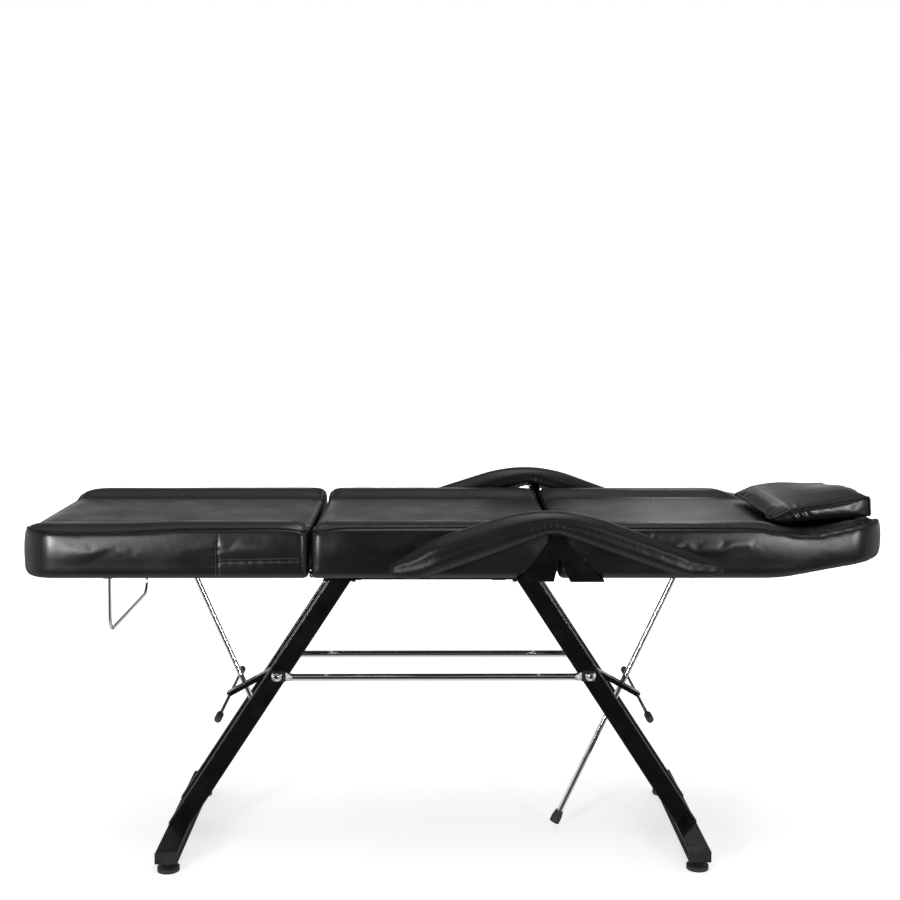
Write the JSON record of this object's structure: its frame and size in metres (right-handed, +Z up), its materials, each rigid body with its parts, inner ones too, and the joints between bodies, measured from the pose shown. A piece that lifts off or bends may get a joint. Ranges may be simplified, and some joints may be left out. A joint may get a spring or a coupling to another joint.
{
  "type": "facial treatment bed",
  "caption": "Three-section padded treatment bed with raised bolsters, head pillow, bent armrests, crossed steel legs and chrome support rods with release levers.",
  "frame": {"origin": "on the floor, midway along the bed and midway across it", "axes": "+X towards the head end, +Y towards the client's right hand, +Z up"},
  "size_m": [1.85, 0.804, 0.8241],
  "materials": {
    "cover_leather": "satin",
    "black_paint": "gloss",
    "chrome": "polished",
    "black_rubber": "matte",
    "black_plastic": "satin",
    "plywood": "matte",
    "zinc_steel": "satin"
  },
  "bodies": {
    "frame": {"seat_board": "plywood", "seat_cushion": "cover_leather", "foot_end_leg_left": "black_paint", "foot_end_leg_right": "black_paint", "head_end_leg_left": "black_paint", "head_end_leg_right": "black_paint", "leg_top_plates": "black_paint", "leg_top_bolts": "zinc_steel", "foot_end_bar": "black_paint", "head_end_bar": "black_paint", "foot_bar_caps": "black_plastic", "levelling_nuts": "zinc_steel", "foot_end_cross_tube": "black_paint", "head_end_cross_tube": "black_paint", "stretcher_left": "chrome", "stretcher_right": "chrome", "stretcher_bolts": "chrome", "seat_rail_left": "black_paint", "seat_rail_right": "black_paint", "seat_crossbar_foot": "black_paint", "seat_crossbar_head": "black_paint", "hinge_seat_leaves": "black_paint", "hinge_pins": "zinc_steel", "seat_plate_left": "black_paint", "seat_plate_right": "black_paint", "pivot_bolt_left": "black_paint", "pivot_bolt_right": "black_paint", "lever_springs": "zinc_steel"},
    "leg_rest": {"leg_rest_board": "plywood", "leg_rest_cushion": "cover_leather", "hinge_leg_rest_leaves": "black_paint", "leg_rod_clevis": "black_paint", "bail_clips": "black_plastic"},
    "back": {"back_board": "plywood", "head_board": "plywood", "back_cushion": "cover_leather", "back_plate_left": "black_paint", "back_plate_right": "black_paint", "back_plate_bolts": "zinc_steel", "back_rod_clevis": "black_paint"},
    "pillow": {"head_pillow": "cover_leather"},
    "leg_rod": {"leg_rod": "chrome", "leg_rod_tip": "black_rubber"},
    "back_rod": {"back_rod": "chrome", "back_rod_tip": "black_rubber"},
    "leg_lever": {"leg_lever": "black_paint", "leg_lever_grips": "black_rubber"},
    "back_lever": {"back_lever": "black_paint", "back_lever_grips": "black_rubber"},
    "bail": {"bail_wire": "chrome"},
    "armrest_left": {"armrest_core_left": "black_paint", "armrest_bracket_left": "black_paint", "armrest_pad_left": "cover_leather"},
    "armrest_right": {"armrest_core_right": "black_paint", "armrest_bracket_right": "black_paint", "armrest_pad_right": "cover_leather"},
    "levelling_foot_end_left": {"levelling_foot_foot_end_left": "black_rubber"},
    "levelling_foot_end_right": {"levelling_foot_foot_end_right": "black_rubber"},
    "levelling_head_end_left": {"levelling_foot_head_end_left": "black_rubber"},
    "levelling_head_end_right": {"levelling_foot_head_end_right": "black_rubber"}
  },
  "joints": [
    {"name": "leg_rest_fold", "type": "hinge", "parent": "frame", "child": "leg_rest", "pos_m": [-0.308, 0, 0.658], "axis": [0, -1, 0], "range_deg": [0, 45]},
    {"name": "back_recline", "type": "hinge", "parent": "frame", "child": "back", "pos_m": [0.2215, 0, 0.749], "axis": [0, -1, 0], "range_deg": [0, 65]},
    {"name": "leg_rod_pivot", "type": "hinge", "parent": "leg_rest", "child": "leg_rod", "pos_m": [-0.617, 0, 0.65], "axis": [0, -1, 0], "range_deg": [-39, 0]},
    {"name": "back_rod_pivot", "type": "hinge", "parent": "back", "child": "back_rod", "pos_m": [0.547, 0, 0.65], "axis": [0, -1, 0], "range_deg": [-45.5, 0]},
    {"name": "leg_lever_release", "type": "hinge", "parent": "frame", "child": "leg_lever", "pos_m": [-0.40061, 0, 0.396], "axis": [0, 1, 0], "range_deg": [0, 12], "stiffness_Nm_per_rad": 3, "springref_deg": -11.46},
    {"name": "back_lever_release", "type": "hinge", "parent": "frame", "child": "back_lever", "pos_m": [0.32061, 0, 0.396], "axis": [0, -1, 0], "range_deg": [0, 12], "stiffness_Nm_per_rad": 3, "springref_deg": -11.46},
    {"name": "bail_swing", "type": "hinge", "parent": "leg_rest", "child": "bail", "pos_m": [-0.755, 0, 0.655], "axis": [0, 1, 0], "range_deg": [-60, 75]},
    {"name": "armrest_left_tilt", "type": "hinge", "parent": "frame", "child": "armrest_left", "pos_m": [0.2215, -0.3225, 0.749], "axis": [0, 1, 0], "range_deg": [0, 20]},
    {"name": "armrest_right_tilt", "type": "hinge", "parent": "frame", "child": "armrest_right", "pos_m": [0.2215, 0.3225, 0.749], "axis": [0, 1, 0], "range_deg": [0, 20]},
    {"name": "pillow_lift", "type": "slide", "parent": "back", "child": "pillow", "axis": [-0.1815, 0, 0.9834], "range_m": [0, 0.06]},
    {"name": "leveller_foot_end_left_turn", "type": "hinge", "parent": "frame", "child": "levelling_foot_end_left", "pos_m": [-0.6259, -0.233, 0.02], "axis": [0, 0, 1], "continuous": true},
    {"name": "leveller_foot_end_right_turn", "type": "hinge", "parent": "frame", "child": "levelling_foot_end_right", "pos_m": [-0.6259, 0.233, 0.02], "axis": [0, 0, 1], "continuous": true},
    {"name": "leveller_head_end_left_turn", "type": "hinge", "parent": "frame", "child": "levelling_head_end_left", "pos_m": [0.5459, -0.233, 0.02], "axis": [0, 0, 1], "continuous": true},
    {"name": "leveller_head_end_right_turn", "type": "hinge", "parent": "frame", "child": "levelling_head_end_right", "pos_m": [0.5459, 0.233, 0.02], "axis": [0, 0, 1], "continuous": true}
  ],
  "couplings": [
    {"joint": "leg_rod_pivot", "follows": "leg_rest_fold", "ratio": -0.85},
    {"joint": "back_rod_pivot", "follows": "back_recline", "ratio": -0.687}
  ]
}
